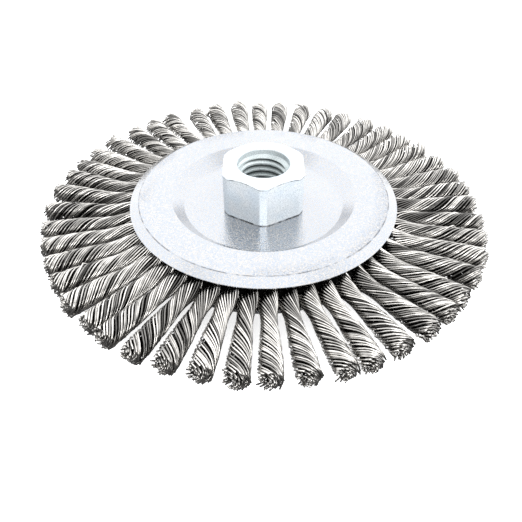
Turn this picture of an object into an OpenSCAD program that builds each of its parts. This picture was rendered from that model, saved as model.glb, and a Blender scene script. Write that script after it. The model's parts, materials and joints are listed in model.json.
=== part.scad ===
// Twist-knot wire wheel brush for an angle grinder.
//
// Bundles of wire are hooked through the holes of a carrier disc and twisted
// into knots. Two dished face plates clamp the knots' roots, a pair of rings
// fills the gap between disc and plates, and a threaded nut is staked through
// the whole stack.
//
// The wheel turns about Z. The origin is on the thread's axis, half way
// through the thickness of the knots. The nut stands on the +Z side.

/* [Wheel] */
// Diameter over the tips of the knots
wheel_d = 125; // [104:1:150]
// Number of knots around the wheel
knot_count = 48; // [24:1:48]
// Angle from the -Y direction to the first knot
knot_turn = 1.75; // [0:0.25:7.5]

/* [Face plates] */
// Diameter over the plates' rims
plate_d = 75.2; // [64:0.1:90]
// Thickness over the raised faces of both plates
hub_w = 12; // [10:0.1:14.4]
// Thickness of the pressed sheet
plate_t = 0.8; // [0.6:0.1:1]
// Diameter of the recessed flat around the nut
recess_d = 45; // [38:0.5:48]
// Depth of the recessed flat below the raised face
recess_depth = 3; // [2:0.1:3]
// Radial run of the slope between the recessed flat and the raised face
shoulder_run = 3.5; // [2:0.1:4]
// Slope of the skirt between the raised face and the rim
skirt_slope = 31.6; // [25:0.1:40]
// Inside radius of the sheet's bends
bend_inside_r = 0.5; // [0.2:0.1:0.8]

/* [Carrier disc] */
// Thickness of the disc that holds the knots
disc_t = 1.4; // [1:0.1:1.7]
// Width of the disc outside its holes
disc_margin = 1.8; // [1.2:0.1:2.4]

/* [Knots] */
// Diameter of one leg of the wire bundle, before the legs are twisted
leg_d = 2.8; // [2.3:0.1:3.4]
// Angle at which the two legs close in on each other
leg_slope = 15; // [12:1:18]
// Diameter of a knot at its neck
neck_d = 4; // [3.6:0.1:4.2]
// Diameter of a knot at its tip
tip_d = 6; // [5:0.1:6.5]

/* [Arbor nut] */
// Distance across the flats of the hexagon
nut_af = 22; // [18:0.5:27]
// Height of the hexagon
nut_h = 12.6; // [10:0.1:15]
// Nominal diameter of the metric thread
thread_d = 14; // [12:1:14]
// Pitch of the metric thread
thread_pitch = 2; // [1.5:0.25:2]
// Depth of the plain mouth above the thread
relief_depth = 3; // [2:0.1:5]
// Diameter of the nut's spigot, which passes through the stack
spigot_d = 18; // [17:0.5:21.5]

/* [Hidden] */
$fn = 96;

// Clearance between pieces that pass one another
gap = 0.05;
// Extra length of a cut beyond the faces that it opens
over = 0.1;

// Heights of the plates' faces
face_z = hub_w / 2;
recess_z = face_z - recess_depth;
ring_t = recess_z - plate_t - disc_t / 2;

// Radii of the plates
plate_r = plate_d / 2;
recess_r = recess_d / 2;
crest_r = recess_r + shoulder_run;
spigot_hole_r = spigot_d / 2 + gap;
ring_r = recess_r - 1.5;

// A knot's root is a staple: the bundle goes straight through the disc and
// turns outwards at two elbows, which the raised faces of the plates hold down
leg_r = leg_d / 2;
pin_r = leg_r - 0.05;
elbow_r = leg_r + 0.2;
// It stands inside the rim, but never so far in that an elbow meets the shoulder
root_x = max(plate_r - 5.4, crest_r + elbow_r + gap);
root_z = face_z - plate_t - gap - elbow_r;
// The legs close in until their centre lines cross on the knot's own axis
leg_len = root_z / sin(leg_slope);
// Height of a leg's upper side at a radius
function leg_top(x) = root_z - (x - root_x) * tan(leg_slope) + leg_r / cos(leg_slope);
// Radius at which a leg's lower side comes down to a height
function leg_under_x(z) = root_x + (root_z - leg_r / cos(leg_slope) - z) / tan(leg_slope);

// The rim of the plate is pressed down onto the legs
rim_under_r = plate_r - plate_t * sin(skirt_slope);
rim_z = leg_top(rim_under_r) + gap + plate_t * cos(skirt_slope);
crease_r = plate_r - (face_z - rim_z) / tan(skirt_slope);

// The disc ends a margin outside its holes, or where the legs close on it
knot_hole_r = pin_r + gap;
disc_r = min(root_x + knot_hole_r + disc_margin, leg_under_x(disc_t / 2) - gap / sin(leg_slope));

// The twisted part of a knot
wheel_r = wheel_d / 2;
twist_x = plate_r + 1.4;
neck_x = plate_r + 0.3 * (wheel_r - plate_r);
flare_steps = 8;
tip_bevel = 0.4;

// The nut: an M thread's minor diameter is its nominal one less 1.0825 pitches
minor_r = (thread_d - 1.0825 * thread_pitch) / 2;
mouth_r = thread_d / 2;
relief_r = mouth_r + 0.2;
nut_top_z = recess_z + nut_h;
nut_corner_r = nut_af / 2 / cos(30);
chamfer_angle = 30;
collar_h = 1.6;
collar_r = spigot_d / 2 + 2;
collar_bevel = 0.6;
nut_bottom_z = -recess_z - collar_h;

function knot_name(k) = str("wire_knot_", k < 10 ? "0" : "", k);

// ---- Bent sheet outlines ----

// Unit vector from a to b
function heading(a, b) = (b - a) / norm(b - a);
// A vector turned by an angle
function turned(v, a) = [v[0] * cos(a) - v[1] * sin(a), v[0] * sin(a) + v[1] * cos(a)];
// The angle between two headings, positive to the left
function turn_between(d, e) = atan2(d[0] * e[1] - d[1] * e[0], d * e);

// A path moved sideways to the left of its travel, with mitred corners
function beside(path, shift) = [
    for (i = [0 : len(path) - 1])
        let (
            last = len(path) - 1,
            before = turned(heading(path[max(i - 1, 0)], path[max(i, 1)]), 90),
            after = turned(heading(path[min(i, last - 1)], path[min(i + 1, last)]), 90)
        )
        path[i] + (before + after) * shift / (1 + before * after)
];

// The points of a round bend at corner b of the path a, b, c
function bend_arc(a, b, c, r, steps = 5) =
    let (
        turn = turn_between(heading(a, b), heading(b, c)),
        start = b - heading(a, b) * r * tan(abs(turn) / 2),
        spoke = turned(heading(a, b), -90 * sign(turn)) * r
    )
    [for (i = [0 : steps]) start - spoke + turned(spoke, turn * i / steps)];

// A path with round bends: one radius for its left turns, one for its right turns
function rounded(path, left_r, right_r) = [
    path[0],
    for (i = [1 : len(path) - 2])
        let (
            turn = turn_between(heading(path[i - 1], path[i]), heading(path[i], path[i + 1])),
            r = turn > 0 ? left_r : right_r
        )
        each bend_arc(path[i - 1], path[i], path[i + 1], r),
    path[len(path) - 1]
];

// Points of a list in the opposite order
function reversed(list) = [for (i = [len(list) - 1 : -1 : 0]) list[i]];

// ---- Sub-parts ----

// One dished pressing: recessed flat, slope, raised face and skirt
module face_plate() {
    upper = [
        [spigot_hole_r, recess_z],
        [recess_r, recess_z],
        [crest_r, face_z],
        [crease_r, face_z],
        [plate_r, rim_z]
    ];
    lower = beside(upper, -plate_t);
    rotate_extrude()
        polygon(concat(
            rounded(upper, bend_inside_r, bend_inside_r + plate_t),
            reversed(rounded(lower, bend_inside_r + plate_t, bend_inside_r))
        ));
}

module upper_face_plate() {
    color("lightsteelblue") face_plate();
}

module lower_face_plate() {
    color("lightsteelblue") mirror([0, 0, 1]) face_plate();
}

// Puts its children on the radial line of a knot, with X along the knot
module at_knot(k) {
    rotate([0, 0, knot_turn - 90 + (k - 1) * 360 / knot_count]) children();
}

module knot_carrier_disc() {
    color("gray") difference() {
        translate([0, 0, -disc_t / 2]) cylinder(h = disc_t, r = disc_r);
        translate([0, 0, -disc_t]) cylinder(h = 2 * disc_t, r = spigot_hole_r);
        for (k = [1 : knot_count])
            at_knot(k)
                translate([root_x, 0, -disc_t])
                    cylinder(h = 2 * disc_t, r = knot_hole_r);
    }
}

// A flat ring between the carrier disc and a plate's recessed flat
module clamp_ring() {
    translate([0, 0, disc_t / 2]) difference() {
        cylinder(h = ring_t, r = ring_r);
        translate([0, 0, -over]) cylinder(h = ring_t + 2 * over, r = spigot_hole_r);
    }
}

module upper_clamp_ring() {
    color("silver") clamp_ring();
}

module lower_clamp_ring() {
    color("silver") mirror([0, 0, 1]) clamp_ring();
}

// The hexagon, with its upper corners taken off by a cone
module nut_hexagon() {
    cone_drop = (nut_corner_r - nut_af / 2) * tan(chamfer_angle);
    intersection() {
        rotate([0, 0, 30]) cylinder(h = nut_h, r = nut_corner_r, $fn = 6);
        rotate_extrude()
            polygon([
                [0, -over],
                [nut_corner_r + over, -over],
                [nut_corner_r + over, nut_h - cone_drop - over * tan(chamfer_angle)],
                [nut_af / 2, nut_h],
                [0, nut_h]
            ]);
    }
}

// The spigot below the hexagon, with its end staked out over the lower plate
module nut_spigot() {
    rotate_extrude()
        polygon([
            [0, recess_z + nut_h / 4],
            [spigot_d / 2, recess_z + nut_h / 4],
            [spigot_d / 2, -recess_z],
            [collar_r, -recess_z],
            [collar_r, nut_bottom_z + collar_bevel],
            [collar_r - collar_bevel, nut_bottom_z],
            [0, nut_bottom_z]
        ]);
}

// The threaded hole at its minor diameter, with a countersink at the lower
// end and a plain mouth, wider than the thread, at the upper end
module nut_bore() {
    rotate_extrude()
        polygon([
            [0, nut_bottom_z - over],
            [mouth_r + over, nut_bottom_z - over],
            [minor_r, nut_bottom_z + mouth_r - minor_r],
            [minor_r, nut_top_z - relief_depth],
            [relief_r, nut_top_z - relief_depth + relief_r - minor_r],
            [relief_r, nut_top_z + over],
            [0, nut_top_z + over]
        ]);
}

module arbor_nut() {
    color("slategray") difference() {
        union() {
            translate([0, 0, recess_z]) nut_hexagon();
            nut_spigot();
        }
        nut_bore();
    }
}

// The bundle's straight run through the disc
module knot_pin() {
    translate([root_x, 0, -root_z]) cylinder(h = 2 * root_z, r = pin_r);
}

// The elbow above the disc and the straight leg from it to the knot's axis
module knot_leg() {
    translate([root_x, 0, root_z]) {
        sphere(r = elbow_r);
        rotate([0, 90 + leg_slope, 0]) cylinder(h = leg_len, r = leg_r);
    }
}

// The twisted part: a straight neck that flares out to the tip
module knot_twist() {
    flare = [
        for (i = [0 : flare_steps])
            let (t = i / flare_steps)
            [
                (neck_d + (tip_d - neck_d) * sin(90 * t)) / 2,
                neck_x + (wheel_r - tip_bevel - neck_x) * t
            ]
    ];
    rotate([0, 90, 0])
        rotate_extrude()
            polygon(concat(
                [[0, twist_x], [neck_d / 2, twist_x]],
                flare,
                [[tip_d / 2 - tip_bevel, wheel_r], [0, wheel_r]]
            ));
}

module wire_knot(k) {
    color("dimgray") at_knot(k) {
        knot_pin();
        knot_leg();
        mirror([0, 0, 1]) knot_leg();
        knot_twist();
    }
}

arbor_nut();
upper_face_plate();
lower_face_plate();
knot_carrier_disc();
upper_clamp_ring();
lower_clamp_ring();
for (k = [1 : knot_count])
    wire_knot(k);
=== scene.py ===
"""A twist-knot wire wheel brush for an angle grinder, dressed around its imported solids.

The face plates, the arbor nut and the wire knots are replaced by finer meshes that are worked
out here. The carrier disc and the clamp rings lie hidden between the plates and keep their
solids. The wheel's axis is Z and the knots' mid-plane is z = 0. Lengths are millimetres until
mesh_object turns them into metres.
"""
import json
import logging
import math
from dataclasses import dataclass, field
from enum import Enum
from typing import Any

import bpy
import numpy as np
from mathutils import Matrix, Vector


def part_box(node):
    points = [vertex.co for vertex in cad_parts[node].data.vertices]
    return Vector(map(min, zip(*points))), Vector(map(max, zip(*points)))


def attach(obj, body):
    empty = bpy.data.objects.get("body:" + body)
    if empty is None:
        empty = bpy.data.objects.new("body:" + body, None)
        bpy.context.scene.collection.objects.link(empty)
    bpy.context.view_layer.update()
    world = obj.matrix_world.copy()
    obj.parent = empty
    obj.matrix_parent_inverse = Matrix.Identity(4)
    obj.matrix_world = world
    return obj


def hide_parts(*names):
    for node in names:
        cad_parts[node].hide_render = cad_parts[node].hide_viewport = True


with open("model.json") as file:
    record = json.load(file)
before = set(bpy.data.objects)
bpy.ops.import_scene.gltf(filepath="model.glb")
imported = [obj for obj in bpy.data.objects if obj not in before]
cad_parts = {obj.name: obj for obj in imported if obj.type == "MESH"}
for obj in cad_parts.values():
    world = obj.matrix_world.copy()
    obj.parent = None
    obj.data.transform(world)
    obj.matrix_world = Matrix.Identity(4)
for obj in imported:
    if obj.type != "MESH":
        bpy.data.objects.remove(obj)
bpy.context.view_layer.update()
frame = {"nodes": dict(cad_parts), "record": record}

MM = 0.001
TURN = 2 * math.pi
Range = tuple[float, float]
Triple = tuple[float, float, float]
log = logging.getLogger("wheel_brush")


class Slot(Enum):
    """The record's material slots."""

    PLATE = "zinc_plate"
    NUT = "nut_steel"
    WIRE = "wire_steel"
    INNER = "inner_steel"


# ---------------------------------------------------------------- meshes


def span(node: str) -> tuple[np.ndarray, np.ndarray]:
    """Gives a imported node's lowest and highest corners.

    Args:
        node: the node's name.

    Returns:
        Two arrays of x, y and z, in millimetres.
    """
    low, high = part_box(node)
    return np.array(low) / MM, np.array(high) / MM


def in_metres(lengths: Range) -> Range:
    """Turns a range in millimetres into metres, as object coordinates are."""
    return lengths[0] * MM, lengths[1] * MM


def smooth_step(x: np.ndarray, start: float, end: float) -> np.ndarray:
    """Rises from 0 at start to 1 at end along the cubic 3t^2 - 2t^3."""
    t = np.clip((x - start) / (end - start), 0, 1)
    return t * t * (3 - 2 * t)


def mesh_object(name: str, points: np.ndarray, quads: np.ndarray,
                caps: np.ndarray | None = None) -> bpy.types.Object:
    """Makes a smooth mesh object at the origin from whole arrays.

    Args:
        name: the new object's name.
        points: an array of vertices in millimetres, its last axis being x, y and z.
        quads: vertex numbers, four to a row.
        caps: vertex numbers of flat end faces, one face to a row, or None.

    Returns:
        The object, linked to the scene.
    """
    points = points.reshape(-1, 3) * MM
    parts = [quads] if caps is None else [quads, caps]
    corners = np.concatenate([p.ravel() for p in parts]).astype(np.int32)
    sizes = np.concatenate([np.full(len(p), p.shape[1]) for p in parts])
    starts = np.concatenate([[0], np.cumsum(sizes)[:-1]]).astype(np.int32)
    smooth = np.arange(len(sizes)) < len(quads)
    mesh = bpy.data.meshes.new(name)
    mesh.vertices.add(len(points))
    mesh.vertices.foreach_set("co", points.ravel())
    mesh.loops.add(len(corners))
    mesh.loops.foreach_set("vertex_index", corners)
    mesh.polygons.add(len(sizes))
    mesh.polygons.foreach_set("loop_start", starts)
    mesh.polygons.foreach_set("use_smooth", smooth)
    mesh.update(calc_edges=True)
    mesh.validate()
    piece = bpy.data.objects.new(name, mesh)
    bpy.context.scene.collection.objects.link(piece)
    return piece


def ring_quads(rows: int, columns: int) -> np.ndarray:
    """Numbers the faces of a grid whose rows and columns both close on themselves.

    Args:
        rows: how many rows the grid has.
        columns: how many points there are in a row.

    Returns:
        An array of four vertex numbers a face, for points stored row by row.
    """
    i, j = np.meshgrid(np.arange(rows), np.arange(columns), indexing="ij")
    down, right = (i + 1) % rows, (j + 1) % columns
    quads = [i * columns + j, i * columns + right, down * columns + right, down * columns + j]
    return np.stack(quads, -1).reshape(-1, 4)


def lathe(radius: np.ndarray, height: np.ndarray, angles: np.ndarray) -> np.ndarray:
    """Turns outlines about Z: each column of the grid is an outline at its own angle.

    Args:
        radius: distance from the axis, by row and column.
        height: z, by row and column.
        angles: the angle of each column in radians.

    Returns:
        An array of points, by row and column.
    """
    radius, height, angles = np.broadcast_arrays(radius, height, angles)
    return np.stack([radius * np.cos(angles), radius * np.sin(angles), height], -1)


def filleted(corners: np.ndarray, reach: np.ndarray, steps: int = 4) -> np.ndarray:
    """Rounds the corners of closed outlines with parabolic arcs.

    Each corner gives way to the curve (1-t)^2 A + 2t(1-t) P + t^2 B, where P is the corner and A
    and B lie on the outline, at the corner's reach from it. A corner with no reach stays sharp.

    Args:
        corners: radius and height of each corner, shaped corners x columns x 2.
        reach: how far each rounding reaches from its corner.
        steps: how many faces a rounding is given.

    Returns:
        The rounded outlines, shaped rows x columns x 2.
    """
    before, after = np.roll(corners, 1, 0) - corners, np.roll(corners, -1, 0) - corners
    rows: list[np.ndarray] = []
    for k, size in enumerate(reach):
        if size == 0:
            rows.append(corners[k:k + 1])
            continue
        lengths = [np.linalg.norm(v[k], axis=-1, keepdims=True) for v in (before, after)]
        size_here = np.minimum(size, 0.45 * np.minimum(*lengths))
        a = corners[k] + before[k] / lengths[0] * size_here
        b = corners[k] + after[k] / lengths[1] * size_here
        t = np.linspace(0, 1, steps + 1)[:, None, None]
        rows.append((1 - t) ** 2 * a + 2 * t * (1 - t) * corners[k] + t ** 2 * b)
    return np.concatenate(rows)


# ---------------------------------------------------------------- shader trees


class Value:
    """A number socket that can be used in Python arithmetic, each operation adding a Math node."""

    def __init__(self, shader: "Shader", socket: bpy.types.NodeSocket) -> None:
        """Wraps a socket of a shader's tree."""
        self.shader = shader
        self.socket = socket

    def math(self, operation: str, *others: Any) -> "Value":
        """Adds a Math node that takes this value first.

        Args:
            operation: the Math node's operation.
            others: the node's other inputs, as values or numbers.

        Returns:
            The node's result.
        """
        inputs = dict(enumerate((self, *others)))
        node = self.shader.node("ShaderNodeMath", {"operation": operation}, inputs)
        return Value(self.shader, node.outputs[0])

    def __add__(self, other: Any) -> "Value":
        """Adds."""
        return self.math("ADD", other)

    def __mul__(self, other: Any) -> "Value":
        """Multiplies."""
        return self.math("MULTIPLY", other)

    def __sub__(self, other: Any) -> "Value":
        """Subtracts."""
        return self.math("SUBTRACT", other)

    def __rsub__(self, other: Any) -> "Value":
        """Subtracts this value from a number."""
        return self.math("MULTIPLY_ADD", -1.0, other)

    def __pow__(self, power: Any) -> "Value":
        """Raises to a power."""
        return self.math("POWER", power)

    __radd__ = __add__
    __rmul__ = __mul__

    def ranged(self, low: float, high: float, to_low: float = 0, to_high: float = 1) -> "Value":
        """Maps one range onto another in a straight line and holds the result inside it.

        Args:
            low: the value that gives to_low.
            high: the value that gives to_high.
            to_low: the result at low and below.
            to_high: the result at high and above.

        Returns:
            The mapped value.
        """
        inputs = {"Value": self, "From Min": low, "From Max": high,
                  "To Min": to_low, "To Max": to_high}
        node = self.shader.node("ShaderNodeMapRange", {"clamp": True}, inputs)
        return Value(self.shader, node.outputs["Result"])


class Shader:
    """Builds the node tree of one material or world."""

    def __init__(self, owner: bpy.types.Material | bpy.types.World) -> None:
        """Empties the owner's tree.

        Args:
            owner: the material or world that the tree belongs to.
        """
        owner.use_nodes = True
        self.owner = owner
        self.tree = owner.node_tree
        self.tree.nodes.clear()

    def node(self, kind: str, settings: dict[str, Any] | None = None,
             inputs: dict[str | int, Any] | None = None) -> bpy.types.Node:
        """Adds a node, sets it, and then fills or links its sockets.

        Args:
            kind: the node's type.
            settings: its properties by name.
            inputs: socket names or numbers with a number, a colour, a Value or a socket.

        Returns:
            The node.
        """
        node = self.tree.nodes.new(kind)
        for key, setting in (settings or {}).items():
            setattr(node, key, setting)
        for key, given in (inputs or {}).items():
            given = given.socket if isinstance(given, Value) else given
            if isinstance(given, bpy.types.NodeSocket):
                self.tree.links.new(given, node.inputs[key])
            else:
                node.inputs[key].default_value = given
        return node

    def value(self, node: bpy.types.Node, output: str | int = 0) -> Value:
        """Wraps one of a node's number outputs."""
        return Value(self, node.outputs[output])

    def place(self) -> bpy.types.NodeSocket:
        """Gives the object coordinates."""
        return self.node("ShaderNodeTexCoord").outputs["Object"]

    def noise(self, place: bpy.types.NodeSocket, per_mm: float, detail: float = 2,
              rough: float = 0.5) -> Value:
        """Gives a noise with about this many grains to the millimetre."""
        inputs = {"Vector": place, "Scale": per_mm / MM, "Detail": detail, "Roughness": rough}
        return self.value(self.node("ShaderNodeTexNoise", None, inputs), "Fac")

    def radius(self, place: bpy.types.NodeSocket) -> Value:
        """Gives the distance from the Z axis, in metres.

        Args:
            place: the object coordinates.

        Returns:
            The length of their x and y.
        """
        inputs = {0: place, 1: (1, 1, 0)}
        flat = self.node("ShaderNodeVectorMath", {"operation": "MULTIPLY"}, inputs)
        length = self.node("ShaderNodeVectorMath", {"operation": "LENGTH"}, {0: flat.outputs[0]})
        return self.value(length, "Value")

    def stretched(self, place: bpy.types.NodeSocket, scale: Triple,
                  turn: float = 0) -> bpy.types.NodeSocket:
        """Scales coordinates by axis, after turning them about Z."""
        inputs = {"Vector": place, "Rotation": (0, 0, turn), "Scale": scale}
        return self.node("ShaderNodeMapping", None, inputs).outputs[0]

    def blend(self, share: Any, first: Any, second: Any) -> bpy.types.NodeSocket:
        """Mixes two colours: all first at 0 and all second at 1."""
        inputs = {0: share, 6: first, 7: second}
        return self.node("ShaderNodeMix", {"data_type": "RGBA"}, inputs).outputs[2]

    def bump(self, height: Value, depth: float) -> bpy.types.NodeSocket:
        """Gives the normal of a surface with this much relief, in millimetres."""
        inputs = {"Height": height, "Distance": depth * MM, "Strength": 1.0}
        return self.node("ShaderNodeBump", None, inputs).outputs[0]

    def finish(self, inputs: dict[str | int, Any]) -> None:
        """Ends the tree in one Principled shader.

        Args:
            inputs: the shader's sockets by name.
        """
        shader = self.node("ShaderNodeBsdfPrincipled", None, inputs)
        output = self.node("ShaderNodeOutputMaterial")
        self.tree.links.new(shader.outputs[0], output.inputs["Surface"])


@dataclass(frozen=True)
class Finish:
    """What every metal finish of the wheel has in common."""

    name: str
    colour: Triple
    roughness: float
    metallic: float = 1.0

    def material(self) -> bpy.types.Material:
        """Makes the finish's material.

        Returns:
            The new material.
        """
        material = bpy.data.materials.new(self.name)
        self.dress(Shader(material))
        return material

    def uneven(self, noise: Value, least: float, most: float) -> Value:
        """Varies the roughness between two factors of its own value."""
        return noise.ranged(0.3, 0.7, self.roughness * least, self.roughness * most)

    def dress(self, shader: Shader) -> None:
        """Adds the finish's nodes.

        Args:
            shader: the builder of an empty tree.
        """
        raise NotImplementedError


@dataclass(frozen=True)
class BrightZinc(Finish):
    """Bright zinc plate on pressed sheet: bluish mirror grains among paler, duller ones."""

    spangle: Triple = (0.425, 0.452, 0.495)
    dull: Triple = (0.495, 0.475, 0.455)
    dull_metallic: float = 0.72
    # dark colour of the crease's painted shade and of the rubbed scuffs
    crease_shade_and_scuff: Triple = (0.06, 0.065, 0.08)
    crease_r: float = 35.0
    crease_w: Range = (0.08, 0.22)
    rub_start: Range = (30.5, 34.5)
    rub_end: Range = (34.8, 35.2)
    relief: float = 0.045

    def dress(self, shader: Shader) -> None:
        """Adds cloudy plating, bright and dull grains, scuffs, and painted shade along the crease.

        The painted shade fades out on both sides of the crease between the two widths of crease_w.
        The raised face is rubbed in patches that begin over rub_start and stop over rub_end.

        Args:
            shader: the builder of an empty tree.
        """
        place = shader.place()
        cloud = shader.noise(place, 0.12, 3)
        grain = shader.noise(place, 2.0, 3, 0.7)
        matt = shader.noise(place, 2.6, 2, 0.7).ranged(0.45, 0.58)
        hair = shader.noise(shader.stretched(place, (1, 0.06, 1), 0.5), 1.4, 2, 0.6)
        scuffs = hair.ranged(0.66, 0.74)
        radius = shader.radius(place)
        broken = shader.noise(place, 0.35, 2).ranged(0.42, 0.58, 0.15, 0.9)
        off_crease = (radius - self.crease_r * MM).math("ABSOLUTE")
        # painted shade: a dark broken line along the crease
        crease_shade = (1 - off_crease.ranged(*in_metres(self.crease_w))) * broken
        face = radius.ranged(*in_metres(self.rub_start))
        face = face * (1 - radius.ranged(*in_metres(self.rub_end)))
        patches = shader.noise(place, 0.09, 1).ranged(0.48, 0.58)
        rubbed = face * patches * grain.ranged(0.45, 0.6)
        plated = shader.blend(cloud.ranged(0.35, 0.7) * 0.35, (*self.colour, 1), (*self.spangle, 1))
        marked = shader.blend(matt, plated, (*self.dull, 1))
        # the crease's painted shade and the rubbed scuffs blend to the same dark colour
        marked = shader.blend(crease_shade * 0.75 + rubbed * 0.4, marked, (*self.crease_shade_and_scuff, 1))
        shader.finish({
            "Base Color": marked,
            "Metallic": matt.ranged(0, 1, self.metallic, self.dull_metallic),
            "Roughness": self.uneven(grain, 0.6, 1.4) + scuffs * 0.12,
            "Normal": shader.bump(grain + cloud * 0.5 - scuffs * 0.2, self.relief),
        })


@dataclass(frozen=True)
class TurnedNut(Finish):
    """Zinc-plated drawn hexagon bar: satin, light blue-grey, with a fine speckle.

    The thread's roots are darkened as painted shade. A dark line runs below the hexagon's turned
    edge, and its lower edge has a painted shadow where it meets the plate.
    """

    shade: Triple = (0.45, 0.52, 0.585)
    bore: Triple = (0.48, 0.53, 0.53)
    # painted shade colour for the thread's roots
    root_shade: Triple = (0.02, 0.025, 0.025)
    # dark colour of the line below the turned edge and of the painted shadow at the lower edge
    edge_line_and_foot_shadow: Triple = (0.04, 0.045, 0.05)
    bore_r: float = 7.3
    root_r: float = 6.9
    thread_z: float = 12.5
    top_z: float = 15.48
    flat_r: float = 11.0
    base_z: float = 3.0
    bore_fade: float = 0.15
    root_fade: float = 0.5
    turned_from: Range = (0.04, 0.08)
    turned_to: Range = (0.26, 0.34)
    turned_in: Range = (-0.12, -0.08)
    foot_w: Range = (0.15, 0.25)
    relief: float = 0.02

    def dress(self, shader: Shader) -> None:
        """Adds a drawn grain, a speckle, cloudy plating, the dark bore with painted shade in the
        thread's roots, a dark line below the turned edge and a painted shadow along the lower edge.

        The turned edge's height falls by the tangent of 30 degrees with distance from the axis,
        and its dark line lies between turned_from and turned_to below it, outside turned_in from
        the flats. The lower edge's painted shadow fades out over foot_w above and below the edge's
        fillet.

        Args:
            shader: the builder of an empty tree.
        """
        place = shader.place()
        cloud = shader.noise(place, 0.25, 3)
        speckle = shader.noise(place, 4.5, 2, 0.7)
        drawn = shader.noise(shader.stretched(place, (1, 1, 0.08)), 3.0, 2, 0.6)
        tone = cloud * 0.5 + speckle * 0.5
        plated = shader.blend(tone.ranged(0.35, 0.65), (*self.shade, 1), (*self.colour, 1))
        radius = shader.radius(place)
        height = shader.value(shader.node("ShaderNodeSeparateXYZ", None, {0: place}), "Z")

        # a dark broken line just below the turned edge
        off_flats = radius - self.flat_r * MM
        below = off_flats * -math.tan(math.pi / 6) + self.top_z * MM - height
        turned = below.ranged(*in_metres(self.turned_from))
        turned = turned * (1 - below.ranged(*in_metres(self.turned_to)))
        turned = turned * off_flats.ranged(*in_metres(self.turned_in))
        # painted shadow: a dark band where the hexagon's lower edge meets the plate
        off_foot = (height - (self.base_z + 0.1) * MM).math("ABSOLUTE")
        foot_shadow = 1 - off_foot.ranged(*in_metres(self.foot_w))
        broken = shader.noise(place, 0.6, 2).ranged(0.38, 0.55, 0.3, 0.95)
        edge_line_and_foot_shadow_mask = (turned + foot_shadow).math("MINIMUM", 1.0) * broken

        inside = 1 - radius.ranged(*in_metres((self.bore_r - self.bore_fade, self.bore_r)))
        # painted shade: the thread's roots, below the plain wall, are darkened to near black
        roots = radius.ranged(*in_metres((self.root_r - self.root_fade, self.root_r))) * inside
        roots = roots * (1 - height.ranged(*in_metres((self.thread_z, self.thread_z + 0.1))))
        marked = shader.blend(edge_line_and_foot_shadow_mask, plated, (*self.edge_line_and_foot_shadow, 1))
        lined = shader.blend(inside * 0.85, marked, (*self.bore, 1))
        shader.finish({
            "Base Color": shader.blend(roots * 0.95, lined, (*self.root_shade, 1)),
            "Metallic": self.metallic,
            "Roughness": self.uneven(speckle, 0.75, 1.25),
            "Normal": shader.bump(speckle * 0.6 + drawn * 0.4, self.relief),
        })


@dataclass(frozen=True)
class DrawnWire(Finish):
    """Bright drawn steel wire: each wire has its own tone, the bundle's inside is darkened as
    painted shade, and the wires' ends are lightened as a painted highlight.
    """

    # colour of low tones, of stains and of the painted shade inside the bundle
    dark: Triple = (0.012, 0.011, 0.010)

    def dress(self, shader: Shader) -> None:
        """Adds each wire's tone, the painted shade of the bundle's inside and drawing marks.

        Args:
            shader: the builder of an empty tree.
        """
        place = shader.place()
        # each wire's tone, with the painted highlight at the wires' ends
        own = shader.node("ShaderNodeAttribute", {"attribute_name": KnotRing.TONE_AND_HIGHLIGHT})
        inside = shader.node("ShaderNodeAttribute", {"attribute_name": KnotRing.INNER_SHADE})
        tone, inner_shade = shader.value(own, "Fac"), shader.value(inside, "Fac")
        stain = shader.noise(place, 0.5, 2).ranged(0.4, 0.75)
        marks = shader.noise(place, 5.0, 2, 0.6)
        # painted shade: the inner rings darken towards the dark colour
        share = (1 - inner_shade) * (tone * 0.93 + 0.05) * (1 - stain * 0.35)
        shader.finish({
            "Base Color": shader.blend(share, (*self.dark, 1), (*self.colour, 1)),
            "Metallic": self.metallic,
            "Roughness": self.uneven(marks, 0.8, 1.3) + inner_shade * 0.15,
            "Normal": shader.bump(marks, 0.004),
        })


@dataclass(frozen=True)
class RolledSteel(Finish):
    """Plain rolled steel with an oily stain, for the pieces between the plates."""

    def dress(self, shader: Shader) -> None:
        """Adds rolling marks and cloudy stains.

        Args:
            shader: the builder of an empty tree.
        """
        place = shader.place()
        rolled = shader.noise(shader.stretched(place, (0.08, 1, 1)), 2.5, 3, 0.6)
        stain = shader.noise(place, 0.1, 3).ranged(0.35, 0.7)
        dark = tuple(0.55 * c for c in self.colour)
        shader.finish({
            "Base Color": shader.blend(stain * 0.6 + rolled * 0.3, (*self.colour, 1), (*dark, 1)),
            "Metallic": self.metallic,
            "Roughness": self.uneven(rolled, 0.8, 1.2),
            "Normal": shader.bump(rolled, 0.01),
        })


def coat(piece: bpy.types.Object, material: bpy.types.Material) -> None:
    """Gives a piece one material in place of any that it has."""
    piece.data.materials.clear()
    piece.data.materials.append(material)


def adopt(piece: bpy.types.Object, node: str) -> None:
    """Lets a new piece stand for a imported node.

    Args:
        piece: the new piece.
        node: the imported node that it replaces.
    """
    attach(piece, "root")
    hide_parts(node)
    log.info("%s: %d faces", piece.name, len(piece.data.polygons))


# ---------------------------------------------------------------- face plates


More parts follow.
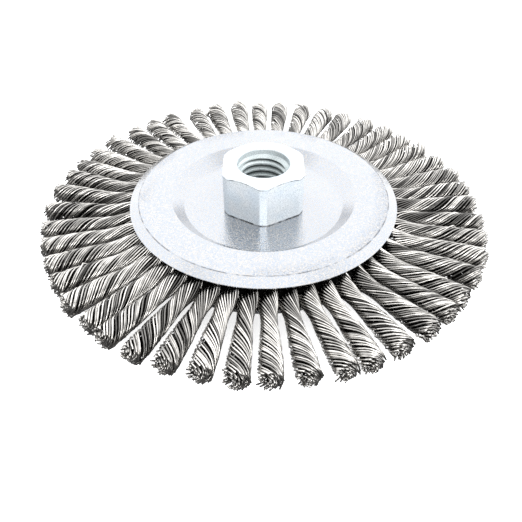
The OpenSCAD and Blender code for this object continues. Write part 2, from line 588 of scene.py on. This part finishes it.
@dataclass
class FacePlates:
    """The two dished plates, pressed from sheet, that clamp the knots between them."""

    sheet: float = 0.8
    recess_r: float = 22.5
    shoulder_run: float = 3.5
    recess_depth: float = 3.0
    skirt_slope: float = math.radians(31.6)
    rim_drop: float = 1.604
    hole_r: float = 9.05
    columns: int = 256
    bend_steps: int = 6
    finish: Finish = BrightZinc("bright_zinc", (0.43, 0.468, 0.525), 0.1)

    def outline(self) -> np.ndarray:
        """Works out the outline of the upper plate's section.

        The upper side runs along the recessed flat, up the shoulder, along the raised face and
        down the skirt. The lower side is the same path, moved by the sheet's thickness along the
        mean normal of each corner over the cosine of half its turn.

        Returns:
            Corners of the closed outline as radius and height, shaped corners x 1 x 2.
        """
        rim_r, _, face_z = span("upper_face_plate")[1]
        crease_r = rim_r - self.rim_drop / math.tan(self.skirt_slope)
        upper = np.array([
            [self.hole_r, face_z - self.recess_depth],
            [self.recess_r, face_z - self.recess_depth],
            [self.recess_r + self.shoulder_run, face_z],
            [crease_r, face_z],
            [rim_r, face_z - self.rim_drop],
        ])
        heading = np.diff(upper, axis=0)
        heading /= np.linalg.norm(heading, axis=1, keepdims=True)
        normal = np.stack([heading[:, 1], -heading[:, 0]], 1)
        first, second = np.vstack([normal[:1], normal]), np.vstack([normal, normal[-1:]])
        shift = (first + second) / (1 + (first * second).sum(1, keepdims=True))
        lower = upper + shift * self.sheet
        return np.vstack([upper, lower[::-1]])[:, None, :]

    def section(self) -> np.ndarray:
        """Rounds the outline: wide bends at the shoulder, a crisp crease and softened edges.

        Returns:
            The rounded outline as radius and height, shaped rows x 1 x 2.
        """
        bends = [0.12, 1.1, 1.2, 0.30, 0.30]
        inner_bends = [0.25, 0.15, 0.8, 0.9, 0.12]
        reach = self.with_supports(bends + inner_bends)
        return filleted(self.supported(self.outline()), reach, self.bend_steps)

    @staticmethod
    def supported(corners: np.ndarray, inset: float = 0.06) -> np.ndarray:
        """Adds two points to each side, so that a rounding leaves flats flat.

        Args:
            corners: the outline's corners.
            inset: how far from the side's ends the points lie, as a share of its length.

        Returns:
            Each corner followed by the two points of the side that it starts.
        """
        after = np.roll(corners, -1, 0)
        near, far = corners + (after - corners) * inset, after - (after - corners) * inset
        return np.stack([corners, near, far], 1).reshape(-1, *corners.shape[1:])

    @staticmethod
    def with_supports(reach: list[float]) -> np.ndarray:
        """Gives each corner its reach and the added points none."""
        return np.stack([reach, np.zeros(len(reach)), np.zeros(len(reach))], 1).ravel()

    def build(self) -> None:
        """Builds both plates, the lower being the upper one turned over, and dresses them."""
        section = self.section()
        angles = np.linspace(0, TURN, self.columns, endpoint=False)
        upper = lathe(section[..., 0], section[..., 1], angles)
        quads = ring_quads(len(section), self.columns)
        lower = upper * (1, -1, -1)
        material = self.finish.material()
        for node, points in (("upper_face_plate", upper), ("lower_face_plate", lower)):
            piece = mesh_object(f"{node}_pressing", points, quads)
            coat(piece, material)
            adopt(piece, node)


# ---------------------------------------------------------------- arbor nut


@dataclass
class ArborNut:
    """The hexagon nut with its threaded bore, its spigot and its staked collar."""

    across_flats: float = 22.0
    corner_w: float = 2.2
    hex_base_z: float = 3.0
    chamfer: float = math.radians(30)
    pitch: float = 2.0
    mouth_r: float = 7.0
    relief_r: float = 7.2
    relief_depth: float = 3.0
    spigot_r: float = 9.0
    collar_r: float = 11.0
    corner_soft: float = 0.4
    edge_drop: float = 0.12
    mouth_edge: float = 0.3
    land: float = 0.6
    stake_waves: tuple[tuple[int, float, float], ...] = ((4, 0.12, 0.0), (9, 0.05, 1.0))
    arc_steps: int = 4
    flat_steps: int = 14
    rows_per_pitch: int = 20
    finish: Finish = TurnedNut("turned_nut", (0.59, 0.61, 0.62), 0.28, 0.38)

    def hexagon(self) -> np.ndarray:
        """Works out the hexagon's outline: six flats between blunted corners, one towards -Y.

        A corner is cut off square to its own direction, which leaves a facet, and the facet's
        two edges are rounded.

        Returns:
            An array of x and y, once round.
        """
        flat_r, half = self.across_flats / 2, self.corner_w / 2
        at = np.radians(np.arange(6) * 60 - 90)
        out, along = np.stack([np.cos(at), np.sin(at)], -1), np.stack([-np.sin(at), np.cos(at)], -1)
        facet = out * (flat_r / math.cos(math.pi / 6) - half * math.tan(math.pi / 6))
        starts, ends = facet + along * half, np.roll(facet - along * half, -1, 0)
        t = np.linspace(0, 1, self.flat_steps + 1)[:, None, None]
        corners = np.moveaxis(starts * (1 - t) + ends * t, 0, 1).reshape(-1, 1, 2)
        reach = np.zeros((6, self.flat_steps + 1))
        reach[:, [0, -1]] = self.corner_soft
        return filleted(corners, reach.ravel(), self.arc_steps)[:, 0]

    def thread(self, height: np.ndarray, angles: np.ndarray, low: float, high: float) -> np.ndarray:
        """Works out the bore's radius: a right-handed 60 degree thread between its two mouths.

        With phase as the height in pitches less the angle in turns, the wall runs along the
        crest for a quarter of a pitch, down a straight flank to the root for an eighth, and up
        the other flank. The lower mouth opens at 45 degrees. The upper one opens at 45 degrees
        to a plain wall, whose edge is broken.

        Args:
            height: z of each row, as a column.
            angles: the angle of each column in radians.
            low: z of the bore's lower end.
            high: z of the bore's upper end.

        Returns:
            The wall's radius, by row and column.
        """
        mount = next(m for m in frame["record"]["mounts"] if m["name"] == "arbor_thread")
        crest_r = mount["dims"]["r_mm"]
        phase = (height / self.pitch - angles / TURN) % 1
        off_crest = np.abs(phase - 0.5)
        wall = crest_r + (self.mouth_r - crest_r) * np.clip((off_crest - 0.125) / 0.3125, 0, 1)
        sink = low - height + self.mouth_r + 0.08
        relief = np.clip(height - high + self.relief_depth, 0, self.relief_r - crest_r) + crest_r
        edge = self.relief_r + height - high + self.mouth_edge
        edge = np.where(height > high - self.mouth_edge, edge, 0)
        mouths = np.maximum(np.maximum(sink, relief), edge)
        return np.maximum(wall, mouths)

    def build(self) -> None:
        """Builds the nut as one closed skin and dresses it.

        The skin's rows run up the bore, out over the top, down the chamfer and the flats, in
        under the hexagon, down the spigot, and out and back round the staked collar.
        """
        low, high = span("arbor_nut")
        outline = self.hexagon()
        angles = np.arctan2(outline[:, 1], outline[:, 0])
        hex_r = np.linalg.norm(outline, axis=1)
        ones = np.ones_like(angles)
        rows = int((high[2] - low[2]) / self.pitch * self.rows_per_pitch)
        z = np.linspace(low[2], high[2], rows + 1)[:, None]
        bore_r = self.thread(z, angles, low[2], high[2])

        flat_r = self.across_flats / 2
        shoulder_z = high[2] - (hex_r - flat_r) * math.tan(self.chamfer) - self.edge_drop
        staked_r = self.collar_r + sum(size * np.cos(waves * angles + start)
                                       for waves, size, start in self.stake_waves)
        plate_z = -self.hex_base_z
        corners = np.stack([np.stack([r * ones, h * ones], -1) for r, h in (
            (self.relief_r + self.land, high[2]),
            (flat_r - 0.2, high[2]),
            (hex_r, shoulder_z),
            (hex_r, self.hex_base_z),
            (self.spigot_r, self.hex_base_z),
            (self.spigot_r, plate_z),
            (staked_r, plate_z),
            (staked_r - 0.1, low[2]),
            (self.mouth_r + self.land, low[2]),
        )])
        reach = np.array([0, 0.3, 0.25, 0.15, 0, 0, 0.1, 0.7, 0])
        outside = filleted(FacePlates.supported(corners, 0.04),
                           FacePlates.with_supports(list(reach)), 4)[:-2]
        radius = np.vstack([bore_r, outside[..., 0]])
        height = np.vstack([z * ones, outside[..., 1]])
        points = lathe(radius, height, angles)
        piece = mesh_object("arbor_nut_body", points, ring_quads(len(points), len(angles)))
        coat(piece, self.finish.material())
        adopt(piece, "arbor_nut")


# ---------------------------------------------------------------- wire knots


@dataclass
class KnotRing:
    """The wire knots: each is 24 hairpin wires through the disc, twisted into one rope."""

    # attribute of each wire's tone, lightened at the ends as a painted highlight
    TONE_AND_HIGHLIGHT = "wire_tone_and_end_highlight"
    # attribute of the painted shade inside the bundle
    INNER_SHADE = "wire_inner_shade"

    wire_r: float = 0.22
    sides: int = 6
    rings: tuple[tuple[int, float], ...] = ((20, 1.80), (14, 1.27), (8, 0.80), (4, 0.42), (2, 0.15))
    leg_r: float = 1.48
    leg_squash: Range = (1.08, 1.0)
    leg_slope: float = math.radians(15)
    bend_r: float = 1.6
    root_inset: float = 5.4
    root_z: float = 3.55
    neck_scale: float = 1.04
    root_scale: float = 1.4
    tip_r: float = 2.80
    merge_from: float = 33.8
    merge_to: float = 39.0
    neck_x: float = 45.0
    narrows: Range = (37.0, 43.5)
    twist_rates: tuple[Triple, ...] = ((9, 32, 33.5), (8, 38, 45), (7, 45, 60))
    sway: float = 0.09
    slack_from: float = 0.975
    stray_from: float = 0.97
    splay_run: float = 4.0
    stray_run: float = 6.5
    end_run: float = 0.94
    # how far the painted highlight lightens the wires' ends
    end_highlight: float = 0.8
    leg_stations: int = 27
    bend_stations: int = 5
    seed: int = 11
    nodes: list[str] = field(init=False)
    rim_r: float = field(init=False)
    wheel_r: float = field(init=False)
    root_x: float = field(init=False)
    finish: Finish = DrawnWire("drawn_wire", (0.94, 0.915, 0.875), 0.16)

    def __post_init__(self) -> None:
        """Reads the knots' nodes, and where the rim, the wheel's edge and the roots lie."""
        self.nodes = sorted(n for n in frame["nodes"] if n.startswith("wire_knot_"))
        self.rim_r = span("upper_face_plate")[1][0]
        self.wheel_r = max(span(n)[1][0] for n in self.nodes)
        self.root_x = self.rim_r - self.root_inset

    def rope_layout(self) -> np.ndarray:
        """Places the wires of one leg in the rope's upper half: concentric half rings.

        Returns:
            An array of y and z, outer ring first.
        """
        places = []
        for count, radius in self.rings:
            at = (np.arange(count // 2) + 0.5) / (count // 2) * math.pi
            places.append(radius * np.stack([np.cos(at), np.sin(at)], -1))
        return np.concatenate(places)

    def leg_layout(self, rope: np.ndarray) -> np.ndarray:
        """Places the same wires in a round leg.

        The half disc is squeezed in y and stretched in z to a round shape, and then every pair
        that is closer than a wire's diameter is pushed apart, while all are drawn inwards.

        Args:
            rope: the wires' places in the rope.

        Returns:
            An array of y and z about the leg's own centre.
        """
        places = (rope - (0, rope[:, 1].mean())) * (0.68, 1.35)
        for _ in range(300):
            apart = places[:, None] - places
            distance = np.linalg.norm(apart, axis=-1) + np.eye(len(places))
            push = np.clip(2 * self.wire_r - distance, 0, None) * (1 - np.eye(len(places)))
            places = places + (apart / distance[..., None] * push[..., None]).sum(1) * 0.3
            reach = np.linalg.norm(places, axis=1, keepdims=True)
            places = places * np.minimum(1, (self.leg_r - self.wire_r) / reach) * 0.998
        return places * self.leg_squash

    def twist_angle(self, x: np.ndarray, pace: np.ndarray, start: np.ndarray) -> np.ndarray:
        """Works out how far the rope has turned at a radius.

        The rate of turn rises in smooth steps, each given as degrees to the millimetre and the
        radii that it rises between, and is added up along the radius.

        Args:
            x: distances from the wheel's axis.
            pace: each knot's own factor on the rate.
            start: each knot's own extra angle, taken up between the rim and the neck.

        Returns:
            Angles in radians, shaped like x.
        """
        grid = np.linspace(30, 70, 801)
        rate = np.radians(sum(step * smooth_step(grid, low, high)
                              for step, low, high in self.twist_rates))
        total = np.concatenate([[0], np.cumsum((rate[1:] + rate[:-1]) / 2 * np.diff(grid))])
        return np.interp(x, grid, total) * pace + start * smooth_step(x, 35, 42)

    def rope_scale(self, x: np.ndarray) -> np.ndarray:
        """Gives the rope's radius over its layout's.

        It narrows in a smooth step from the root to the neck, and then grows along a quarter
        sine to the tip.

        Args:
            x: distances from the wheel's axis.

        Returns:
            The scale at each of them.
        """
        t = np.clip((x - self.neck_x) / (self.wheel_r - self.neck_x), 0, 1)
        flare = (self.tip_r / self.rings[0][1] - self.neck_scale) * np.sin(t * math.pi / 2)
        root = (self.root_scale - self.neck_scale) * (1 - smooth_step(x, *self.narrows))
        return self.neck_scale + flare + root

    def knot_lines(self, count: int) -> tuple[np.ndarray, np.ndarray, np.ndarray]:
        """Works out every wire's centre line, on a knot that lies along X.

        Args:
            count: how many knots there are.

        Returns:
            The points, shaped knots x hairpins x stations x 3, each hairpin's tone, lightened at
            its ends as a painted highlight, and each station's painted shade, from 0 on the outer
            ring to 1 in the inner rings, mostly lifted at the wires' ends.
        """
        rng = np.random.default_rng(self.seed)
        rope, wires = self.rope_layout(), sum(n for n, _ in self.rings) // 2
        leg = self.leg_layout(rope)
        shape = (count, 2, wires, 1)
        ring_r = np.linalg.norm(rope, axis=1)[:, None]
        share = ring_r / ring_r.max()

        def per_knot(low: float, high: float) -> np.ndarray:
            """Draws one number for every knot."""
            return rng.uniform(low, high, (count, 1, 1, 1))

        def per_end(low: float, high: float) -> np.ndarray:
            """Draws one number for every wire's end."""
            return rng.uniform(low, high, shape)

        def wander(waves: float) -> np.ndarray:
            """Lets every wire sway, with this many half waves from its root to its end."""
            return (per_end(-self.sway, self.sway)
                    * np.sin(waves * t * TURN / 2 + per_end(0, TURN)) * ramp)

        # where each wire ends: a dome, roughened, with each knot a little short or long
        end_x = self.wheel_r + 0.1 - 0.9 * share ** 3 + per_end(-0.5, 0.2) + per_knot(-0.5, 0.3)
        start_x = self.root_x + self.bend_r + self.bend_r * math.sin(self.leg_slope)
        t = np.linspace(0, 1, self.leg_stations)
        x = start_x + (end_x - start_x) * t

        # the leg's own line, before the rope turns
        centre_x = self.root_x + self.bend_r
        cosine, fall = math.cos(self.leg_slope), math.tan(self.leg_slope)
        centre_z = self.root_z - self.bend_r * (1 / cosine + fall)
        line_z = centre_z + self.bend_r / cosine - (x - centre_x) * fall
        side = np.array([1, -1]).reshape(1, 2, 1, 1)
        leg_y, leg_z = leg[:, :1] + 0 * x, (line_z + leg[:, 1:]) * side

        # the rope's line: rings that bunch, wander and splay
        ramp = smooth_step(x, 40, 52)
        angle = np.arctan2(rope[:, 1:], rope[:, :1]) * side
        lobes, lobe_at = rng.integers(3, 6, (count, 1, 1, 1)), per_knot(0, TURN)
        angle = angle - 0.45 / lobes * np.sin(lobes * (angle - lobe_at)) * ramp * share
        for waves in (1.3, 3.1):
            angle = angle + wander(waves)
        wide = self.rope_scale(x) * (1 + per_knot(-0.04, 0.05) * ramp)
        radius = ring_r * wide
        for waves in (2.0, 4.7):
            radius = radius + wander(waves)
        slack_at = per_end(46, 59)
        slack = (per_end(0, 1) > self.slack_from) * (share > 0.9) * per_end(0.4, 0.9)
        radius = radius + slack * np.exp(-((x - slack_at) / per_end(0.6, 1.1)) ** 2)
        stray = (per_end(0, 1) > self.stray_from) * (share > 0.7)
        splay = np.clip((x - end_x + self.splay_run) / self.splay_run, 0, 1) ** 2
        long_splay = np.clip((x - end_x + self.stray_run) / self.stray_run, 0, 1) ** 1.6
        radius = radius + per_end(-0.2, 0.16) * splay * share
        radius = radius + stray * per_end(0.4, 1.3) * long_splay
        rope_y, rope_z = radius * np.cos(angle), radius * np.sin(angle)
        tousle = splay * per_end(0, 0.25)
        tousle_at = per_end(0, TURN)
        rope_y, rope_z = rope_y + tousle * np.cos(tousle_at), rope_z + tousle * np.sin(tousle_at)

        # from legs to rope
        merge = smooth_step(x, self.merge_from, self.merge_to)
        legs = np.stack([x, leg_y + (rope_y - leg_y) * merge, leg_z + (rope_z - leg_z) * merge], -1)

        # the elbow: an arc from straight down to the leg's slope
        at = np.linspace(math.pi, math.pi / 2 - self.leg_slope, self.bend_stations, endpoint=False)
        out = self.bend_r + leg[:, 1:]
        bends = np.stack(np.broadcast_arrays(
            centre_x + out * np.cos(at), leg[:, :1], (centre_z + out * np.sin(at)) * side), -1)
        bends = np.broadcast_to(bends, (count, 2, wires, self.bend_stations, 3))

        # round the axis, with a lean and a bow of the knot's own
        x, y, z = np.moveaxis(np.concatenate([bends, legs], 3), -1, 0)
        turn = self.twist_angle(x, per_knot(0.94, 1.06), np.radians(per_knot(-14, 14)))
        y, z = y * np.cos(turn) + z * np.sin(turn), z * np.cos(turn) - y * np.sin(turn)
        far = np.clip(x - self.rim_r, 0, None)
        y = y + far * per_knot(-0.022, 0.022) + far ** 2 * per_knot(-0.0012, 0.0012)
        z = z + far * per_knot(-0.012, 0.012) + far ** 2 * per_knot(-0.0006, 0.0006)
        halves = np.stack([x, y, z], -1)
        middle = np.stack([self.root_x - leg[:, 1], leg[:, 0], np.zeros(wires)], -1)[:, None]
        middle = np.broadcast_to(middle, (count, wires, 1, 3))
        lines = np.concatenate([halves[:, 1, :, ::-1], middle, halves[:, 0]], 2)

        tone = np.broadcast_to(rng.beta(1.1, 0.8, (count, wires, 1)), lines.shape[:3])
        # painted shade: the inner rings are darkened, less so at the wires' ends
        layer = np.clip((1 - share) * 3.4, 0, 1)
        # painted highlight: the last stations of each wire are lightened, so the cut ends show
        # bright
        ends = smooth_step(np.abs(np.linspace(-1, 1, lines.shape[2])), self.end_run, 1.0)
        tone = tone + (1 - tone) * ends * self.end_highlight
        return lines, tone, np.broadcast_to(layer * (1 - 0.9 * ends), lines.shape[:3])

    def tubes(self, lines: np.ndarray) -> np.ndarray:
        """Carries a polygon along each centre line.

        The polygon's first direction starts square to the line and is freed, from station to
        station, of its part along the new heading, so the tube doesn't twist.

        Args:
            lines: the centre lines, their last two axes being stations and x, y, z.

        Returns:
            The tubes' points, with an axis of sides before x, y, z.
        """
        heading = np.gradient(lines, axis=-2)
        heading /= np.linalg.norm(heading, axis=-1, keepdims=True)
        across = np.empty_like(lines)
        across[..., 0, :] = np.cross(heading[..., 0, :], (0.31, 0.17, 0.93))
        for station in range(lines.shape[-2]):
            kept = across[..., max(station - 1, 0), :]
            along = (kept * heading[..., station, :]).sum(-1, keepdims=True)
            kept = kept - along * heading[..., station, :]
            across[..., station, :] = kept / np.linalg.norm(kept, axis=-1, keepdims=True)
        other = np.cross(heading, across)
        at = (np.arange(self.sides) * TURN / self.sides)[:, None]
        ring = across[..., None, :] * np.cos(at) + other[..., None, :] * np.sin(at)
        return lines[..., None, :] + ring * self.wire_r

    def faces(self, wires: int, stations: int) -> tuple[np.ndarray, np.ndarray]:
        """Numbers one knot's faces.

        Args:
            wires: how many wires it has.
            stations: how many points there are along a wire.

        Returns:
            The wires' sides, four vertex numbers to a face, and their cut ends, one to a face.
        """
        ranges = (np.arange(n) for n in (wires, stations - 1, self.sides))
        w, s, k = np.meshgrid(*ranges, indexing="ij")
        here, after = (w * stations + s) * self.sides, (w * stations + s + 1) * self.sides
        beside = (k + 1) % self.sides
        quads = np.stack([here + k, here + beside, after + beside, after + k], -1).reshape(-1, 4)
        first = np.arange(wires)[:, None] * stations * self.sides
        around = np.arange(self.sides)
        last = first + (stations - 1) * self.sides
        return quads, np.vstack([first + around[::-1], last + around])

    def build(self) -> None:
        """Builds a mesh for every knot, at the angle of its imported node, and dresses it."""
        # depth is the painted shade of each station inside the bundle
        lines, tone, depth = self.knot_lines(len(self.nodes))
        quads, caps = self.faces(lines.shape[1], lines.shape[2])
        material = self.finish.material()
        for k, node in enumerate(self.nodes):
            mesh = frame["nodes"][node].data
            places = np.empty(len(mesh.vertices) * 3)
            mesh.vertices.foreach_get("co", places)
            middle = places.reshape(-1, 3).mean(0)
            at = math.atan2(middle[1], middle[0])
            c, s = math.cos(at), math.sin(at)
            spin = np.array([[c, s, 0], [-s, c, 0], [0, 0, 1]])
            piece = mesh_object(f"{node}_wires", self.tubes(lines[k] @ spin), quads, caps)
            # the attributes carry each wire's tone with its painted highlight, and the painted
            # shade
            for name, values in ((self.TONE_AND_HIGHLIGHT, tone[k]), (self.INNER_SHADE, depth[k])):
                layer = piece.data.attributes.new(name, "FLOAT", "POINT")
                values = np.repeat(values.ravel(), self.sides).astype(np.float32)
                layer.data.foreach_set("value", values)
            coat(piece, material)
            adopt(piece, node)


# ---------------------------------------------------------------- hidden core


@dataclass
class HiddenCore:
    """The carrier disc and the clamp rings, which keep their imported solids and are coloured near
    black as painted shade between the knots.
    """

    nodes: tuple[str, ...] = ("knot_carrier_disc", "upper_clamp_ring", "lower_clamp_ring")
    # painted shade: near-black steel, so that the disc's edge reads as shade between the knots
    finish: Finish = RolledSteel("rolled_steel_painted_shade", (0.10, 0.097, 0.095), 0.45)

    def build(self) -> None:
        """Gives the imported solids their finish."""
        material = self.finish.material()
        for node in self.nodes:
            coat(frame["nodes"][node], material)
            log.info("%s: dressed", node)


# ---------------------------------------------------------------- studio


@dataclass
class Studio:
    """A white table, soft lights and the camera."""

    floor_size: float = 6000.0
    wall_r: float = 2900.0
    wall_h: float = 3000.0
    camera_place: Triple = (0.0, -137.534, 102.462)
    camera_down: float = 0.729
    camera_turn: float = 0.005
    lens: float = 40.575
    sensor: float = 36.0
    sky: tuple[float, ...] = (-0.2, 0.55, 0.1, 1.9)
    sky_lean: float = 0.04
    dim_at: Triple = (0.64, -0.37, 0.67)
    dimming: tuple[float, ...] = (0.92, 0.98, 1, 0.6)

    def floor(self) -> None:
        """Lays a white floor under the lower plate's raised face."""
        z = span("lower_face_plate")[0][2]
        half = self.floor_size / 2
        corners = np.array([[-half, -half, z], [half, -half, z], [half, half, z], [-half, half, z]])
        table = mesh_object("white_table", corners, np.array([[0, 1, 2, 3]]))
        material = bpy.data.materials.new("white_table")
        shader = Shader(material)
        shader.finish({
            "Base Color": (0.9, 0.9, 0.9, 1),
            "Roughness": 0.9,
            "Emission Color": (1, 1, 1, 1),
            "Emission Strength": 0.7,
        })
        coat(table, material)
        table.visible_glossy = False

    def wall(self) -> None:
        """Stands a round white wall on the floor, which only the camera sees."""
        z = span("lower_face_plate")[0][2]
        angles = np.linspace(0, TURN, 96, endpoint=False)
        height = np.array([[z], [z + self.wall_h]])
        points = lathe(np.full((2, 1), self.wall_r), height, angles)
        quads = ring_quads(2, len(angles))[:len(angles)]
        wall = mesh_object("white_wall", points, quads)
        shader = Shader(bpy.data.materials.new("white_wall"))
        shader.finish({
            "Base Color": (0.9, 0.9, 0.9, 1),
            "Emission Color": (1, 1, 1, 1),
            "Emission Strength": 1.0,
        })
        coat(wall, shader.owner)
        wall.visible_diffuse = wall.visible_glossy = wall.visible_shadow = False
        wall.visible_transmission = wall.visible_volume_scatter = False

    def light(self, name: str, place: Triple, size: Range,
              power: float, shiny: bool = True) -> None:
        """Hangs a rectangular soft light that faces the wheel.

        Args:
            name: the light's name.
            place: its centre, in millimetres.
            size: its width and height, in millimetres.
            power: its power in watts.
            shiny: whether it shows in polished metal.
        """
        lamp = bpy.data.lights.new(name, "AREA")
        lamp.shape = "RECTANGLE"
        lamp.size, lamp.size_y = size[0] * MM, size[1] * MM
        lamp.energy = power
        hung = bpy.data.objects.new(name, lamp)
        hung.location = [c * MM for c in place]
        hung.rotation_euler = hung.location.to_track_quat("Z", "Y").to_euler()
        hung.visible_glossy = shiny
        bpy.context.scene.collection.objects.link(hung)

    def surroundings(self) -> None:
        """Makes a white room that is darker low down on the -Y side.

        It brightens upwards and to +Y, and is a little dimmer around dim_at and its mirror image.
        """
        world = bpy.data.worlds.new("white_room")
        bpy.context.scene.world = world
        shader = Shader(world)
        direction = shader.node("ShaderNodeTexCoord").outputs["Generated"]
        parts = shader.node("ShaderNodeSeparateXYZ", None, {0: direction})
        across, back, up = (shader.value(parts, axis) for axis in "XYZ")
        toward = back + up + across * self.sky_lean
        x, y, z = self.dim_at
        near = across.math("ABSOLUTE") * x + back * y + up * z
        glow = shader.node("ShaderNodeBackground", None, {
            "Color": (0.985, 0.99, 1.0, 1),
            "Strength": toward.ranged(*self.sky) * near.ranged(*self.dimming),
        })
        output = shader.node("ShaderNodeOutputWorld")
        shader.tree.links.new(glow.outputs[0], output.inputs["Surface"])

    def camera(self) -> None:
        """Sets the camera up in front of the wheel, looking down on it."""
        data = bpy.data.cameras.new("camera")
        data.lens, data.sensor_width = self.lens, self.sensor
        data.clip_start = 0.005
        camera = bpy.data.objects.new("camera", data)
        camera.location = [c * MM for c in self.camera_place]
        camera.rotation_euler = (math.pi / 2 - self.camera_down, 0, self.camera_turn)
        bpy.context.scene.collection.objects.link(camera)
        bpy.context.scene.camera = camera

    def build(self) -> None:
        """Sets up the whole studio."""
        self.floor()
        self.wall()
        self.surroundings()
        self.light("key", (330, 150, 420), (360, 360), 1.5, shiny=False)
        self.light("front", (0, -300, 225), (200, 140), 0.45)
        self.light("back", (-230, 340, 350), (160, 160), 2.2, shiny=False)
        self.light("fill", (190, -390, 150), (260, 160), 2.4, shiny=False)
        self.camera()
        bpy.context.scene.view_settings.view_transform = "Standard"
        log.info("studio: ready")


def main() -> None:
    """Builds the wheel's sub-assemblies and the studio."""
    logging.basicConfig(level=logging.INFO, format="%(message)s")
    for part in (FacePlates(), ArborNut(), KnotRing(), HiddenCore(), Studio()):
        part.build()


if __name__ == "__main__":
    main()
